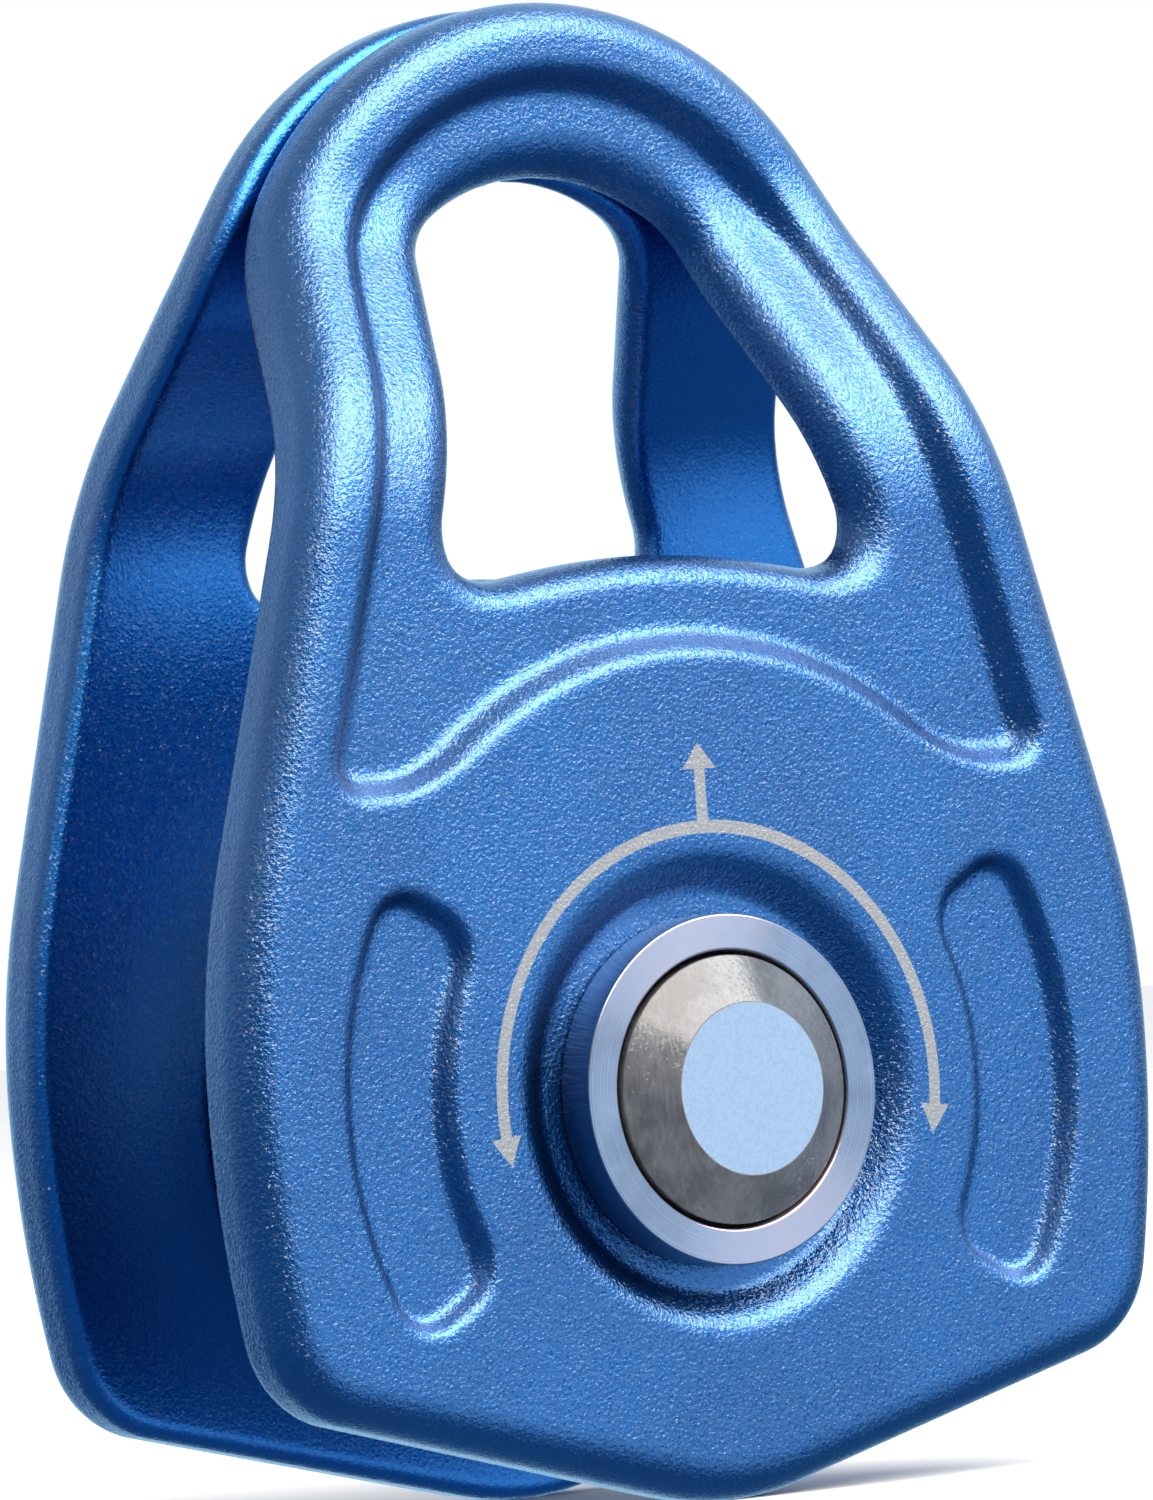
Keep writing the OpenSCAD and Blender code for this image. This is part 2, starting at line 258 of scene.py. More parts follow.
def middle(z):
    return (outer_face(z)[0] + inner_face(z)[0]) / 2


def sunk(gap, depth, slope, top_w, foot_w):
    """Depth of a sunk area at a distance from its edge: a sloped wall with a fillet at each end."""
    flat = depth / slope - (top_w + foot_w) / 2
    width = top_w + flat + foot_w
    t = np.clip(top_w + flat / 2 - gap, 0, width)
    top = slope * t ** 2 / (2 * top_w)
    wall = slope * (t - top_w / 2)
    foot = depth - slope * (width - t) ** 2 / (2 * foot_w)
    return np.where(t < top_w, top, np.where(t < top_w + flat, wall, foot))


def dished(radius):
    """Depth of the dish round the axle: a flat floor, a sharp edge, a cone, and a wide rounding above."""
    cone_r = 2 * (RELIEF_D / DISH_SLOPE + DISH_FLOOR_R) - DISH_R
    cone = DISH_SLOPE * (radius - DISH_FLOOR_R)
    top = DISH_SLOPE * (DISH_R - radius) ** 2 / (2 * (DISH_R - cone_r))
    return np.where(radius < DISH_FLOOR_R, RELIEF_D,
                    np.where(radius < cone_r, RELIEF_D - cone, np.where(radius < DISH_R, top, 0)))


def cheek_distance(x, y, z):
    """Signed distance to the surface of the cheek on the +Y side."""
    radius = np.hypot(x, z)
    edge = outline_distance(OUTLINE, x, z)
    eye = rounded_both(outline_distance(EYE, x, z), EYE_BASE_R - radius, EYE_BASE_BLEND_R)
    panel = rounded_both(rounded_both(edge + RIM_W, PANEL_BASE_R - radius, PANEL_CORNER_R),
                         PANEL_LOW - z, PANEL_CORNER_R)
    sector = np.abs(z) * math.cos(POCKET_HALF_ANGLE) - np.abs(x) * math.sin(POCKET_HALF_ANGLE)
    pocket = rounded_both(np.abs(radius - POCKET_MID_R) - POCKET_HALF_W, sector, POCKET_CORNER_R)
    depth = np.maximum.reduce([sunk(panel, *PANEL_WALL), sunk(pocket, *POCKET_WALL), dished(radius)])
    out_y, out_slope = outer_face(z)
    in_y, in_slope = inner_face(z)
    outer = (y - out_y + depth) / np.sqrt(1 + out_slope ** 2)
    inner = (in_y - y) / np.sqrt(1 + in_slope ** 2)
    return np.maximum.reduce([
        rounded_both(outer, edge, OUTER_EDGE_R), rounded_both(outer, -eye, EYE_EDGE_R),
        rounded_both(inner, edge, INNER_EDGE_R), rounded_both(inner, -eye, EYE_BACK_R),
        BORE_R - radius])


def skin_of(distance, low, high, step, lean):
    """Vertices and quads of the surface where distance(x, y, z) is zero. lean(z) shifts the grid along Y."""
    counts = [int(math.ceil((b - a) / step)) + 1 for a, b in zip(low, high)]
    axes = [a + step * np.arange(n) for a, n in zip(low, counts)]
    gx, gn, gz = np.meshgrid(*axes, indexing="ij")
    value = distance(gx, gn + lean(gz), gz)
    inside = value < 0
    cells = [c - 1 for c in counts]
    total = np.zeros(cells + [3])
    hits = np.zeros(cells)
    for axis in range(3):
        lo = [slice(None)] * 3
        hi = [slice(None)] * 3
        lo[axis], hi[axis] = slice(0, -1), slice(1, None)
        a, b = value[tuple(lo)], value[tuple(hi)]
        crossing = inside[tuple(lo)] != inside[tuple(hi)]
        t = np.where(crossing, a / np.where(crossing, a - b, 1), 0)
        at = [g[tuple(lo)].astype(float) for g in (gx, gn, gz)]
        at[axis] = at[axis] + t * step
        others = [k for k in range(3) if k != axis]
        for da in (0, 1):
            for db in (0, 1):
                part = [slice(None)] * 3
                part[others[0]] = slice(da, da + cells[others[0]])
                part[others[1]] = slice(db, db + cells[others[1]])
                mask = crossing[tuple(part)]
                hits += mask
                for k in range(3):
                    total[..., k] += np.where(mask, at[k][tuple(part)], 0)
    used = hits > 0
    index = np.full(cells, -1)
    index[used] = np.arange(used.sum())
    points = total[used] / hits[used][:, None]
    quads = []
    for axis in range(3):
        lo = [slice(1, -1)] * 3
        hi = [slice(1, -1)] * 3
        lo[axis], hi[axis] = slice(0, -1), slice(1, None)
        a, b = inside[tuple(lo)], inside[tuple(hi)]
        at = np.argwhere(a != b)
        grows = a[tuple(at.T)]
        others = [(axis + 1) % 3, (axis + 2) % 3]
        at[:, others] += 1
        corner = []
        for da, db in ((1, 1), (0, 1), (0, 0), (1, 0)):
            cell = at.copy()
            cell[:, others[0]] -= da
            cell[:, others[1]] -= db
            corner.append(index[tuple(cell.T)])
        corner = np.stack(corner, 1)
        quads.append(np.where(grows[:, None], corner, corner[:, ::-1]))
    quads = np.concatenate(quads)
    points[:, 1] += lean(points[:, 2])
    return points, quads


def settle(points, quads, distance):
    """Evens out the points along the surface and puts each of them exactly on it."""
    even_passes, last_passes = 4, 3
    nudge, ease, least_size = 0.01, 0.5, 0.25
    edges = np.concatenate([quads[:, [i, (i + 1) % 4]] for i in range(4)])
    degree = np.bincount(edges.ravel(), minlength=len(points))[:, None]
    for turn in range(even_passes + last_passes):
        grad = np.stack([
            (distance(*(points + nudge * unit).T) - distance(*(points - nudge * unit).T)) / (2 * nudge)
            for unit in np.eye(3)], 1)
        size = np.maximum((grad ** 2).sum(1, keepdims=True), least_size)
        points = points - distance(*points.T)[:, None] * grad / size
        if turn < even_passes:
            total = np.zeros_like(points)
            np.add.at(total, edges[:, 0], points[edges[:, 1]])
            np.add.at(total, edges[:, 1], points[edges[:, 0]])
            pull = total / degree - points
            normal = grad / np.sqrt(size)
            points = points + ease * (pull - (pull * normal).sum(1, keepdims=True) * normal)
    return points


def mesh_object(name, points, faces, material, smooth=True):
    mesh = bpy.data.meshes.new(name)
    mesh.from_pydata([tuple(p) for p in points], [], [tuple(int(i) for i in f) for f in faces])
    mesh.validate()
    mesh.polygons.foreach_set("use_smooth", [smooth] * len(mesh.polygons))
    mesh.materials.append(material)
    obj = bpy.data.objects.new(name, mesh)
    bpy.context.collection.objects.link(obj)
    return obj


def cheek_skin():
    step = MESH_STEP * 1
    low, high = (-GRID_X, -GRID_Y, GRID_LOW), (GRID_X, GRID_Y, GRID_TOP)
    points, quads = skin_of(cheek_distance, low, high, step, middle)
    return settle(points, quads, cheek_distance), quads


def add_cheeks(finishes):
    points, quads = cheek_skin()
    for name, side, swing in (("rear_cheek", 1, REAR_SWING), ("front_cheek", -1, 0.0)):
        faces = quads if side > 0 else quads[:, ::-1]
        placed = points * np.array([1, side, 1]) @ np.array(Matrix.Rotation(swing, 3, "Y"))
        cheek = mesh_object(name + "_skin", placed * MM, faces, finishes[name])
        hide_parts(name)
        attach(cheek, name)


# ---------------------------------------------------------------- turned pieces

LATHE_SEGMENTS = 192
FILLET_STEPS = 6
FILLET_MARGIN = 0.06


def rounded_profile(corners):
    """Points of a turned section from its corners (radius, y, fillet), with one more beside each fillet."""
    points, count = [], len(corners)
    for i, (r, y, fillet) in enumerate(corners):
        here = np.array([r, y], float)
        before = np.array(corners[i - 1][:2], float) - here
        after = np.array(corners[(i + 1) % count][:2], float) - here
        u, v = before / np.linalg.norm(before), after / np.linalg.norm(after)
        angle = math.acos(max(-1, min(1, float(u @ v))))
        if fillet == 0:
            points.append(here)
            continue
        reach = fillet / math.tan(angle / 2)
        centre = here + (u + v) / np.linalg.norm(u + v) * fillet / math.sin(angle / 2)
        start, end = here + u * reach - centre, here + v * reach - centre
        points.append(here + u * (reach + FILLET_MARGIN))
        for k in range(FILLET_STEPS + 1):
            t = k / FILLET_STEPS
            along = start * (1 - t) + end * t
            points.append(centre + along / np.linalg.norm(along) * fillet)
        points.append(here + v * (reach + FILLET_MARGIN))
    return points


def lathe(name, corners, material, side=1):
    """A turned piece about the Y axis. A section that starts and ends on the axis is closed there."""
    profile = rounded_profile(corners)
    solid = profile[0][0] < TINY
    rings, points, faces = [], [], []
    for r, y in profile:
        if r < TINY:
            rings.append([len(points)])
            points.append((0, y * side, 0))
        else:
            rings.append(range(len(points), len(points) + LATHE_SEGMENTS))
            points += [(r * math.cos(a), y * side, r * math.sin(a))
                       for a in (2 * math.pi * i / LATHE_SEGMENTS for i in range(LATHE_SEGMENTS))]
    pairs = list(zip(rings, rings[1:])) + ([] if solid else [(rings[-1], rings[0])])
    for low, high in pairs:
        for i in range(LATHE_SEGMENTS):
            j = (i + 1) % LATHE_SEGMENTS
            face = [low[i % len(low)], low[j % len(low)], high[j % len(high)], high[i % len(high)]]
            face = list(dict.fromkeys(face))
            faces.append(face if side > 0 else face[::-1])
    return mesh_object(name, np.array(points) * MM, faces, material)


def stand_for(piece, node, body):
    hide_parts(node)
    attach(piece, body)


# Radii of the turned pieces and places along the axle, as in the CAD
AXLE_R, AXLE_CLEAR_R, BARREL_BORE_R, BARREL_BORE_Y = 6.0, 6.02, 4.0, 14.0
SCREW_R, SCREW_END_Y, SCREW_CHAMFER = 3.95, -12.0, 0.8
SLEEVE_R, COLLAR_R, COUNTERBORE_R = 8.5, 11.1, 8.8
CHEEK_PLAY_Y, COLLAR_UNDER_Y, COLLAR_Y, SEAT_Y = 9.6, 13.45, 16.5, 15.0
HEAD_R, HEAD_BRIM_Y, HEAD_Y, FLAT_R = 8.5, 16.6, 18.6, 5.5
WASHER_R, WASHER_Y = 12.0, 8.5
BEARING_R, BEARING_Y, PITCH_R, TRACK_R = 14.0, 4.0, 10.0, 2.45
INNER_LAND_R, OUTER_LAND_R, SHIELD_R, SHIELD_HOLE_R = 8.6, 11.4, 12.1, 8.9
SHIELD_LOW_Y, SHIELD_HIGH_Y = 3.3, 3.9
SHEAVE_R, SHEAVE_Y, ROOT_R, GROOVE_R = 22.5, 8.8, 16.8, 8.2
SHOULDER_BORE_R, CIRCLIP_R, CIRCLIP_Y, SHEAVE_CHAMFER = 12.8, 14.8, 5.1, 0.5
BALLS = 9


def arc_section(r, y, radius, low, high, count):
    """Sharp corners along an arc of a section, centred at (r, y), from one angle to the other in degrees."""
    turns = [math.radians(low + (high - low) * i / count) for i in range(count + 1)]
    return [(r + radius * math.cos(t), y + radius * math.sin(t), 0) for t in turns]


def add_collars(material):
    section = [(AXLE_CLEAR_R, CHEEK_PLAY_Y, 0.15), (SLEEVE_R, CHEEK_PLAY_Y, 0.15),
               (SLEEVE_R, COLLAR_UNDER_Y, 0), (COLLAR_R, COLLAR_UNDER_Y, 0.2), (COLLAR_R, COLLAR_Y, 0.14),
               (COUNTERBORE_R, COLLAR_Y, 0.18), (COUNTERBORE_R, SEAT_Y, 0), (AXLE_CLEAR_R, SEAT_Y, 0)]
    for name, side in (("rear_collar", 1), ("front_collar", -1)):
        stand_for(lathe(name + "_turned", section, material, side), name, "axle")


def add_axle(material):
    head = [(HEAD_R, SEAT_Y, 0), (HEAD_R, HEAD_BRIM_Y, 0.16), (FLAT_R, HEAD_Y, 0.14), (0, HEAD_Y, 0)]
    barrel = [(0, BARREL_BORE_Y, 0), (BARREL_BORE_R, BARREL_BORE_Y, 0), (BARREL_BORE_R, -SEAT_Y, 0),
              (AXLE_R, -SEAT_Y, 0), (AXLE_R, SEAT_Y, 0)]
    screw = [(0, SCREW_END_Y, 0), (SCREW_R - SCREW_CHAMFER, SCREW_END_Y, 0),
             (SCREW_R, SCREW_END_Y + SCREW_CHAMFER, 0), (SCREW_R, SEAT_Y, 0)]
    stand_for(lathe("axle_barrel_turned", barrel + head, material), "axle_barrel", "axle")
    stand_for(lathe("axle_screw_turned", screw + head, material, -1), "axle_screw", "axle")


def add_washers_and_spacers(bronze, alloy):
    washer = [(AXLE_CLEAR_R, WASHER_Y, 0.15), (WASHER_R, WASHER_Y, 0.2), (WASHER_R, CHEEK_PLAY_Y, 0.2),
              (AXLE_CLEAR_R, CHEEK_PLAY_Y, 0.15)]
    spacer = [(AXLE_CLEAR_R, BEARING_Y, 0.15), (SLEEVE_R, BEARING_Y, 0.2), (SLEEVE_R, WASHER_Y, 0.2),
              (AXLE_CLEAR_R, WASHER_Y, 0.15)]
    for place, side in (("rear", 1), ("front", -1)):
        stand_for(lathe(place + "_washer_turned", washer, bronze, side), place + "_washer", "axle")
        stand_for(lathe(place + "_spacer_turned", spacer, alloy, side), place + "_spacer", "axle")


def add_sheave(material):
    groove_mid = ROOT_R + GROOVE_R
    open_angle = math.degrees(math.acos((groove_mid - SHEAVE_R) / GROOVE_R))
    lip_y = GROOVE_R * math.sin(math.radians(open_angle))
    groove = arc_section(groove_mid, 0, GROOVE_R, 180 - open_angle, 180 + open_angle, 48)[1:-1]
    section = ([(SHEAVE_R, lip_y, 0.12)] + groove + [
        (SHEAVE_R, -lip_y, 0.12), (SHEAVE_R, -SHEAVE_Y, 0.2),
        (BEARING_R + SHEAVE_CHAMFER, -SHEAVE_Y, 0.1), (BEARING_R, -SHEAVE_Y + SHEAVE_CHAMFER, 0.1),
        (BEARING_R, -CIRCLIP_Y, 0), (CIRCLIP_R, -CIRCLIP_Y, 0),
        (CIRCLIP_R, -BEARING_Y, 0), (BEARING_R, -BEARING_Y, 0), (BEARING_R, BEARING_Y, 0),
        (SHOULDER_BORE_R, BEARING_Y, 0.1), (SHOULDER_BORE_R, SHEAVE_Y, 0.3), (SHEAVE_R, SHEAVE_Y, 0.2)])
    stand_for(lathe("sheave_turned", section, material), "sheave", "sheave")


def add_bearing(steel, rubber):
    turn = math.degrees(math.asin((PITCH_R - INNER_LAND_R) / TRACK_R))
    inner = ([(AXLE_CLEAR_R, -BEARING_Y, 0.2), (AXLE_CLEAR_R, BEARING_Y, 0.2),
              (INNER_LAND_R, BEARING_Y, 0.15)]
             + arc_section(PITCH_R, 0, TRACK_R, 90 + turn, 270 - turn, 16)
             + [(INNER_LAND_R, -BEARING_Y, 0.15)])
    outer = ([(BEARING_R, -BEARING_Y, 0.25), (SHIELD_R, -BEARING_Y, 0.1), (SHIELD_R, -SHIELD_LOW_Y, 0),
              (OUTER_LAND_R, -SHIELD_LOW_Y, 0)]
             + arc_section(PITCH_R, 0, TRACK_R, turn - 90, 90 - turn, 16)
             + [(OUTER_LAND_R, SHIELD_LOW_Y, 0), (SHIELD_R, SHIELD_LOW_Y, 0), (SHIELD_R, BEARING_Y, 0.1),
                (BEARING_R, BEARING_Y, 0.25)])
    shield = [(SHIELD_HOLE_R, SHIELD_LOW_Y, 0.1), (SHIELD_R, SHIELD_LOW_Y, 0.05),
              (SHIELD_R, SHIELD_HIGH_Y, 0.1), (SHIELD_HOLE_R, SHIELD_HIGH_Y, 0.15)]
    stand_for(lathe("inner_race_ground", inner, steel), "inner_race", "axle")
    stand_for(lathe("outer_race_ground", outer, steel), "outer_race", "sheave")
    for name, side in (("rear_shield", 1), ("front_shield", -1)):
        stand_for(lathe(name + "_moulded", shield, rubber, side), name, "sheave")


# ---------------------------------------------------------------- materials

class Finish:
    """A material and short ways to add nodes to it. Lengths in its textures are in millimetres."""

    def __init__(self, name):
        self.material = bpy.data.materials.new(name)
        self.material.use_nodes = True
        self.tree = self.material.node_tree
        self.shader = self.tree.nodes["Principled BSDF"]
        metres = self.add("ShaderNodeTexCoord").outputs["Object"]
        self.place = self.add("ShaderNodeVectorMath", operation="SCALE",
                              inputs={"Vector": metres, "Scale": 1 / MM}).outputs["Vector"]
        self.x, self.y, self.z = self.add("ShaderNodeSeparateXYZ", inputs={"Vector": self.place}).outputs
        self.radius = self.math("SQRT", self.math("ADD", self.math("MULTIPLY", self.x, self.x),
                                                  self.math("MULTIPLY", self.z, self.z)))

    def add(self, kind, inputs=None, **settings):
        node = self.tree.nodes.new(kind)
        for key, value in settings.items():
            setattr(node, key, value)
        for key, value in (inputs or {}).items():
            self.put(value, node.inputs[key])
        return node

    def put(self, value, socket):
        if isinstance(value, bpy.types.NodeSocket):
            self.tree.links.new(value, socket)
        else:
            socket.default_value = value

    def math(self, operation, a, b=0.0):
        return self.add("ShaderNodeMath", operation=operation, inputs={0: a, 1: b}).outputs["Value"]

    def less(self, value, amount, share):
        """The value, made smaller by a share of itself where the amount is 1."""
        return self.math("MULTIPLY", value, self.math("SUBTRACT", 1.0, self.math("MULTIPLY", amount, share)))

    def ramp(self, value, low, high, out_low=0.0, out_high=1.0):
        node = self.add("ShaderNodeMapRange", interpolation_type="SMOOTHSTEP", inputs={
            "Value": value, "From Min": low, "From Max": high, "To Min": out_low, "To Max": out_high})
        return node.outputs["Result"]

    def noise(self, size, detail=2.0, roughness=0.5, stretch=None):
        place = self.place
        if stretch:
            node = self.add("ShaderNodeVectorMath", operation="MULTIPLY", inputs={0: place, 1: stretch})
            place = node.outputs["Vector"]
        node = self.add("ShaderNodeTexNoise", inputs={
            "Vector": place, "Scale": 1 / size, "Detail": detail, "Roughness": roughness})
        return node.outputs["Fac"]

    def rings(self, size):
        """Noise that changes only with the distance from the axle, as turning marks do."""
        node = self.add("ShaderNodeTexNoise", noise_dimensions="1D", inputs={
            "W": self.radius, "Scale": 1 / size, "Detail": 3.0, "Roughness": 0.6})
        return node.outputs["Fac"]

    def mix(self, amount, a, b):
        node = self.add("ShaderNodeMix", data_type="RGBA", inputs={0: amount, 6: a, 7: b})
        return node.outputs[2]

    def bump(self, height, depth_mm):
        inputs = {"Height": height, "Distance": depth_mm * MM, "Strength": 1.0}
        return self.add("ShaderNodeBump", inputs=inputs).outputs["Normal"]

    def facets(self, normal, size, least, most):
        """The normal, tilted at random from one tiny facet to the next, most of them by little."""
        rarity = 3.5
        cell = self.add("ShaderNodeTexVoronoi", inputs={"Vector": self.place, "Scale": 1 / size})
        draw = self.add("ShaderNodeSeparateColor", inputs={0: cell.outputs["Color"]}).outputs[0]
        rare = self.math("POWER", draw, rarity)
        reach = self.math("ADD", self.math("MULTIPLY", rare, most - least), least)
        even = self.add("ShaderNodeVectorMath", operation="SUBTRACT",
                        inputs={0: cell.outputs["Color"], 1: (0.5, 0.5, 0.5)}).outputs["Vector"]
        tilt = self.add("ShaderNodeVectorMath", operation="SCALE", inputs={0: even, "Scale": reach})
        lean = self.add("ShaderNodeVectorMath", inputs={0: normal, 1: tilt.outputs["Vector"]})
        return self.add("ShaderNodeVectorMath", operation="NORMALIZE",
                        inputs={0: lean.outputs["Vector"]}).outputs["Vector"]

    def set(self, **values):
        for key, value in values.items():
            self.put(value, self.shader.inputs[key.replace("_", " ")])


def load_mark(finish):
    """1 on the load-direction mark: an arc over the axle with an arrowhead at each end, and an arrow up."""
    arc_r, line_half_w, arc_end = 16.67, 0.42, math.radians(-6.7)
    head_l, head_half_w = 1.9, 1.1
    up_low, up_tip, up_half_w = 20.35, 22.0, 1.3
    edge, face_depth = 0.05, 0.2
    side = finish.math("ABSOLUTE", finish.x)
    angle = finish.math("ARCTAN2", finish.z, side)
    along = finish.math("MULTIPLY", finish.math("SUBTRACT", arc_end, angle), arc_r)
    off = finish.math("ABSOLUTE", finish.math("SUBTRACT", finish.radius, arc_r))
    to_tip = finish.math("SUBTRACT", 1.0, finish.math("DIVIDE", along, head_l))
    taper = finish.math("MULTIPLY", to_tip, head_half_w)
    past_end = finish.math("GREATER_THAN", along, 0.0)
    half_w = finish.math("ADD", finish.math("MULTIPLY", past_end, taper),
                         finish.math("MULTIPLY", finish.math("SUBTRACT", 1.0, past_end), line_half_w))
    arc = finish.ramp(finish.math("SUBTRACT", half_w, off), -edge, edge)
    in_stem = finish.math("MULTIPLY", finish.ramp(finish.z, arc_r, arc_r + edge),
                          finish.ramp(finish.z, up_low + edge, up_low))
    stem = finish.math("MULTIPLY", in_stem, finish.ramp(side, line_half_w + edge, line_half_w - edge))
    tip_w = finish.math("MULTIPLY", finish.math("SUBTRACT", up_tip, finish.z), up_half_w / (up_tip - up_low))
    tip = finish.math("MULTIPLY", finish.ramp(finish.math("SUBTRACT", tip_w, side), -edge, edge),
                      finish.math("GREATER_THAN", finish.z, up_low))
    mark = finish.math("MAXIMUM", finish.math("MAXIMUM", arc, stem), tip)
    return finish.math("MULTIPLY", mark, finish.math("LESS_THAN", finish.y, face_depth - CHEEK_OUT))


def cheek_finish(name, side, marked):
    """Blasted and anodised blue aluminium: a fine grain under a clear layer whose tiny facets sparkle.

    The face towards the other cheek, on the opposite side along Y, is smoother, and its deeper blue is a
    painted reflection of that cheek.
    """
    finish = Finish(name)
    facing = finish.add("ShaderNodeNewGeometry").outputs["Normal"]
    facing_y = finish.add("ShaderNodeSeparateXYZ", inputs={"Vector": facing}).outputs["Y"]
    inside = finish.ramp(finish.math("MULTIPLY", facing_y, -side), 0.4, 0.8)
    grain = finish.noise(0.25, 2.0, 0.5)
    fine = finish.noise(0.10, 1.0)
    patch = finish.noise(9.0, 3.0)
    height = finish.math("ADD", grain, finish.math("MULTIPLY", fine, 0.35))
    shade = finish.math("ADD", finish.math("MULTIPLY", patch, 0.5), finish.math("MULTIPLY", grain, 0.5))
    blue = finish.mix(finish.ramp(shade, 0.3, 0.7), (0.003, 0.093, 0.292, 1), (0.006, 0.135, 0.385, 1))
    # Painted reflection: the inner face gets a deeper, more saturated blue, standing in for the other
    # cheek's blue mirrored in it.
    blue = finish.mix(inside, blue, (0.005, 0.155, 0.46, 1))
    rough = finish.ramp(grain, 0.25, 0.75, 0.32, 0.25)
    normal = finish.bump(finish.less(height, inside, 0.6), 0.075)
    metal = 1.0
    if marked:
        mark = load_mark(finish)
        speck = finish.math("MULTIPLY", mark, finish.ramp(fine, 0.35, 0.55, 0.45, 1.0))
        blue = finish.mix(speck, blue, (0.25, 0.225, 0.185, 1))
        rough = finish.math("ADD", finish.math("MULTIPLY", mark, 0.3), rough)
        metal = finish.less(metal, mark, 0.85)
    finish.set(Base_Color=blue, Metallic=metal, Roughness=rough, Normal=normal,
               Coat_Weight=finish.less(1.0, inside, 0.45), Coat_Roughness=0.13, Coat_IOR=1.85,
               Coat_Normal=finish.facets(normal, 0.13, 0.10, 0.72))
    return finish.material


# Width over which a turned piece's rim blends into the rim colour, which on the collars is painted
# reflection and painted shade
RIM_BLEND = 0.03


def turned_finish(name, dark, light, rough, ring_mm, ring_depth, anisotropy, rim=None):
    """Turned metal: fine rings round the axle, faint cloudiness and a few scratches.

    A rim is the radius from which the colour is another one, such as a collar's side painted dark blue: a
    painted reflection of the cheek, darkened as painted shade.
    """
    finish = Finish(name)
    ring = finish.rings(ring_mm)
    cloud = finish.noise(3.0, 3.0)
    scratch = finish.noise(0.5, 2.0, 0.6, stretch=(0.12, 1.0, 1.6))
    shade = finish.math("ADD", finish.math("MULTIPLY", ring, 0.5), finish.math("MULTIPLY", cloud, 0.5))
    height = finish.math("ADD", ring, finish.math("MULTIPLY", scratch, 0.3))
    colour = finish.mix(finish.ramp(shade, 0.3, 0.7), dark + (1,), light + (1,))
    # Past the rim radius the colour is painted reflection and painted shade, not the metal's own colour.
    if rim:
        rim_r, rim_painted_reflection_and_shade = rim
        colour = finish.mix(finish.ramp(finish.radius, rim_r - RIM_BLEND, rim_r), colour, rim_painted_reflection_and_shade + (1,))
    finish.set(Base_Color=colour, Metallic=1.0,
               Roughness=finish.ramp(shade, 0.3, 0.7, rough * 1.25, rough * 0.8),
               Normal=finish.bump(height, ring_depth), Anisotropic=anisotropy, Anisotropic_Rotation=0.25,
               Tangent=finish.add("ShaderNodeTangent", direction_type="RADIAL", axis="Y").outputs["Tangent"])
    return finish.material


def axle_finish(name):
    """The headed axle: a pale ground flat with faint pits, and a darker cone with cloudy streaks."""
    finish = Finish(name)
    on_flat = finish.ramp(finish.radius, FLAT_R - 0.02, FLAT_R - 0.12)
    cloud = finish.noise(3.0, 2.0, 0.5)
    streak = finish.noise(0.30, 3.0, 0.6, stretch=(1.0, 1.0, 0.22))
    pits = finish.noise(0.22, 2.0, 0.6)
    worn = finish.math("ADD", finish.math("MULTIPLY", cloud, 0.6), finish.math("MULTIPLY", streak, 0.4))
    cone = finish.mix(finish.ramp(worn, 0.36, 0.62), (0.074, 0.074, 0.076, 1), (0.128, 0.130, 0.136, 1))
    flat = finish.mix(finish.ramp(pits, 0.3, 0.6), (0.64, 0.57, 0.61, 1), (0.72, 0.64, 0.68, 1))
    flat_rough, cone_rough = 0.26, finish.ramp(worn, 0.34, 0.62, 0.20, 0.28)
    change = finish.math("MULTIPLY", on_flat, finish.math("SUBTRACT", flat_rough, cone_rough))
    height = finish.math("ADD", streak, finish.math("MULTIPLY", pits, 0.5))
    normal = finish.bump(height, 0.012)
    finish.set(Base_Color=finish.mix(on_flat, cone, flat), Roughness=finish.math("ADD", change, cone_rough),
               Metallic=finish.math("ADD", finish.math("MULTIPLY", on_flat, 0.7), 0.3),
               Normal=normal, Coat_Weight=1.0, Coat_Roughness=0.10, Coat_IOR=1.42,
               Coat_Normal=finish.facets(normal, 0.12, 0.05, 0.45))
    return finish.material


def plain_finish(name, dark, light, rough, metallic, grain_mm, depth):
    """A fine even grain over a slightly uneven colour, for the pieces inside."""
    finish = Finish(name)
    grain = finish.noise(grain_mm, 2.0)
    cloud = finish.noise(4.0, 2.0)
    finish.set(Base_Color=finish.mix(finish.ramp(cloud, 0.35, 0.65), dark + (1,), light + (1,)),
               Metallic=metallic, Roughness=finish.ramp(grain, 0.3, 0.7, rough * 1.2, rough * 0.85),
               Normal=finish.bump(grain, depth))
    return finish.material


def paint_node(name, material):
    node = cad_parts[name]
    node.data.materials.clear()
    node.data.materials.append(material)


# ---------------------------------------------------------------- stage

FLOOR_HALF_W = 6.0
SOFTBOX_DISTANCE = 1.2


def add_floor():
    finish = Finish("floor_white")
    tone = finish.ramp(finish.noise(60.0, 2.0), 0.3, 0.7)
    finish.set(Base_Color=finish.mix(tone, (0.88, 0.88, 0.89, 1), (0.91, 0.91, 0.92, 1)), Roughness=0.9)
    size, low = FLOOR_HALF_W, cad_box[0][2]
    corners = [(-size, -size, low), (size, -size, low), (size, size, low), (-size, size, low)]
    floor = mesh_object("floor", corners, [(0, 1, 2, 3)], finish.material, smooth=False)
    floor.visible_glossy = False


